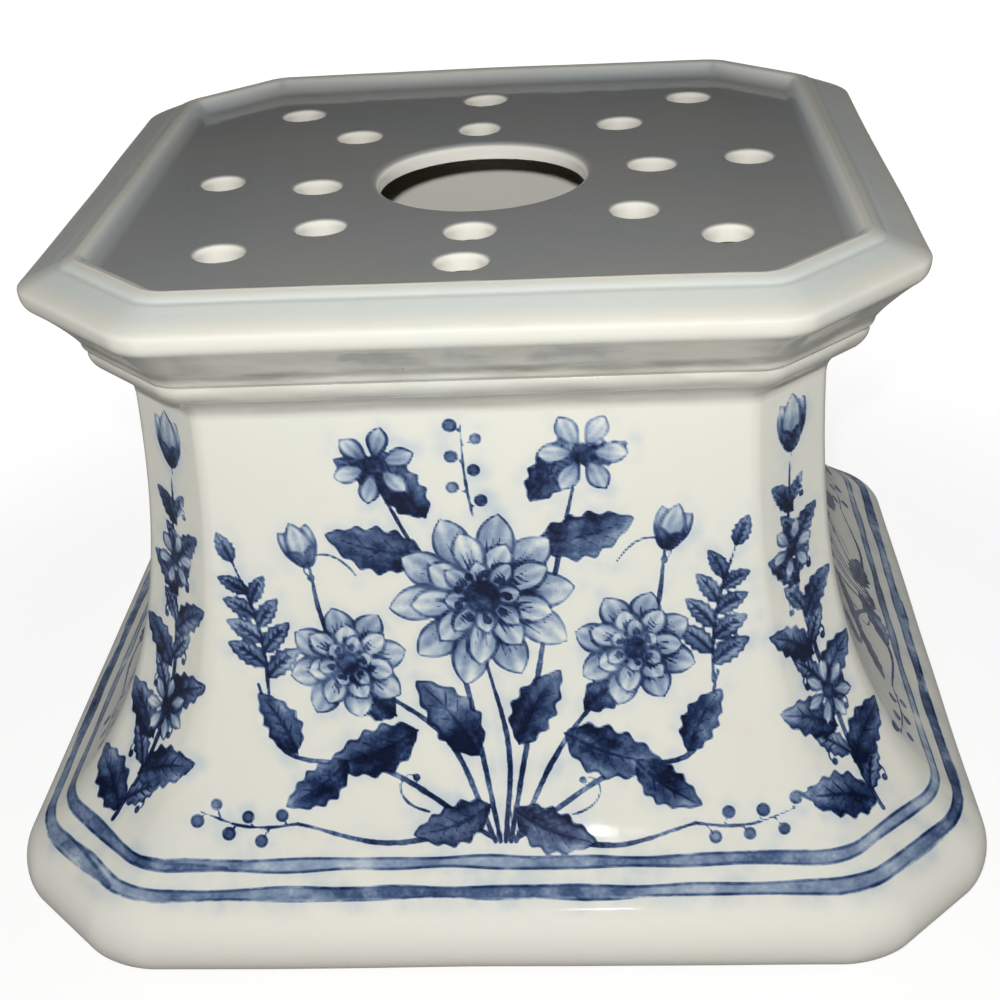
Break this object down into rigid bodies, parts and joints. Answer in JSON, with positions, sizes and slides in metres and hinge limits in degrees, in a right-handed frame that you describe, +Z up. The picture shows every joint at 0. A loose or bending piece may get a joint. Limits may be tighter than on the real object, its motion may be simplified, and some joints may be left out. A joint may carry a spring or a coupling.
{
  "type": "flower brick",
  "caption": "Square tin-glazed flower brick with cut corners, a moulded cornice, a pierced deck for stems, a swept waist and a rolled foot, painted in blue.",
  "frame": {"origin": "on the table, under the middle of the foot", "axes": "+Z up, the front faces -Y, +X to the right"},
  "size_m": [0.201, 0.201, 0.134],
  "materials": {
    "body_glaze": "glossy warm white tin glaze with cobalt blue brush painting and two blue bands round the foot",
    "cornice_glaze": "glossy plain warm white tin glaze",
    "deck_glaze": "glossy plain white tin glaze",
    "floor_biscuit": "glazed inside, bare buff biscuit underneath"
  },
  "bodies": {
    "root": {"front_wall": "body_glaze", "back_wall": "body_glaze", "left_wall": "body_glaze", "right_wall": "body_glaze", "front_left_corner": "body_glaze", "front_right_corner": "body_glaze", "back_left_corner": "body_glaze", "back_right_corner": "body_glaze", "front_cornice": "cornice_glaze", "back_cornice": "cornice_glaze", "left_cornice": "cornice_glaze", "right_cornice": "cornice_glaze", "front_left_cornice": "cornice_glaze", "front_right_cornice": "cornice_glaze", "back_left_cornice": "cornice_glaze", "back_right_cornice": "cornice_glaze", "pierced_deck": "deck_glaze", "floor_slab": "floor_biscuit"}
  },
  "joints": []
}
